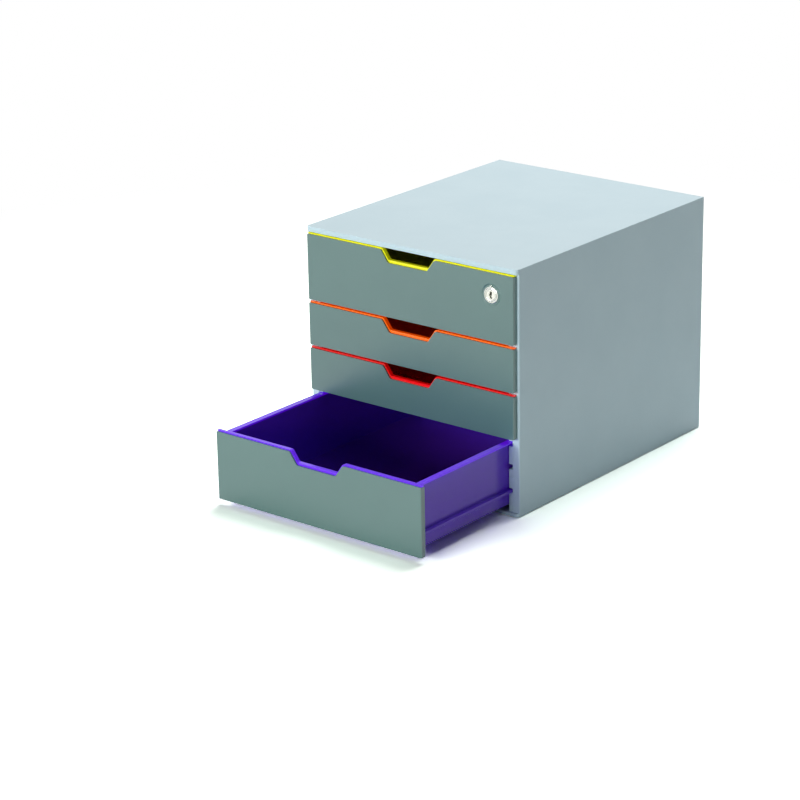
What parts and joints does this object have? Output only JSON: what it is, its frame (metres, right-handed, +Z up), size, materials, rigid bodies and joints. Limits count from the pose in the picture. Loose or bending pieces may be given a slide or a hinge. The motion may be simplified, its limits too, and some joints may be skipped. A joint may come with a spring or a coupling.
{
  "type": "desktop file drawer",
  "caption": "Desktop cabinet with low and tall pull-out drawers on side runners, finger notches in the fronts and a cam lock in the top drawer.",
  "frame": {"origin": "on the desk, at the bottom centre of the box round the whole piece with its bottom drawer open as at rest", "axes": "+Z up; -Y is the way the drawers pull out; +X to the right seen from the front"},
  "size_m": [0.292, 0.518, 0.28],
  "materials": {
    "pale_casing": "satin moulded plastic",
    "slate_front": "satin painted plastic",
    "yellow_tray": "gloss moulded plastic",
    "orange_tray": "gloss moulded plastic",
    "red_tray": "gloss moulded plastic",
    "violet_tray": "gloss moulded plastic",
    "lock_metal": "bright nickel",
    "steel": "zinc plated",
    "foot_rubber": "matt"
  },
  "bodies": {
    "casing": {"top_panel": "pale_casing", "base_panel": "pale_casing", "left_side": "pale_casing", "right_side": "pale_casing", "back_panel": "pale_casing", "left_runner": "pale_casing", "right_runner": "pale_casing", "left_rails": "pale_casing", "right_rails": "pale_casing", "back_screws": "steel", "base_screws": "steel", "front_left_foot": "foot_rubber", "front_right_foot": "foot_rubber", "rear_left_foot": "foot_rubber", "rear_right_foot": "foot_rubber", "top_left_stop": "pale_casing", "top_right_stop": "pale_casing", "second_left_stop": "pale_casing", "second_right_stop": "pale_casing", "third_left_stop": "pale_casing", "third_right_stop": "pale_casing", "bottom_left_stop": "pale_casing", "bottom_right_stop": "pale_casing", "lock_strike": "steel", "strike_screws": "steel"},
    "top_drawer": {"top_tray": "yellow_tray", "top_inner_front": "yellow_tray", "top_front": "slate_front", "lock_barrel": "lock_metal", "lock_nut": "steel"},
    "lock_core": {"lock_plug": "lock_metal", "lock_cam": "steel", "cam_screw": "steel"},
    "second_drawer": {"second_tray": "orange_tray", "second_inner_front": "orange_tray", "second_front": "slate_front"},
    "third_drawer": {"third_tray": "red_tray", "third_inner_front": "red_tray", "third_front": "slate_front"},
    "bottom_drawer": {"bottom_tray": "violet_tray", "bottom_inner_front": "violet_tray", "bottom_front": "slate_front"}
  },
  "joints": [
    {"name": "top_slide", "type": "slide", "parent": "casing", "child": "top_drawer", "axis": [0, -1, 0], "range_m": [0, 0.27]},
    {"name": "second_slide", "type": "slide", "parent": "casing", "child": "second_drawer", "axis": [0, -1, 0], "range_m": [0, 0.27]},
    {"name": "third_slide", "type": "slide", "parent": "casing", "child": "third_drawer", "axis": [0, -1, 0], "range_m": [0, 0.27]},
    {"name": "bottom_slide", "type": "slide", "parent": "casing", "child": "bottom_drawer", "axis": [0, -1, 0], "range_m": [-0.159, 0.111]},
    {"name": "lock_turn", "type": "hinge", "parent": "top_drawer", "child": "lock_core", "pos_m": [0.1134, -0.087, 0.2478], "axis": [0, 1, 0], "range_deg": [0, 90]}
  ]
}
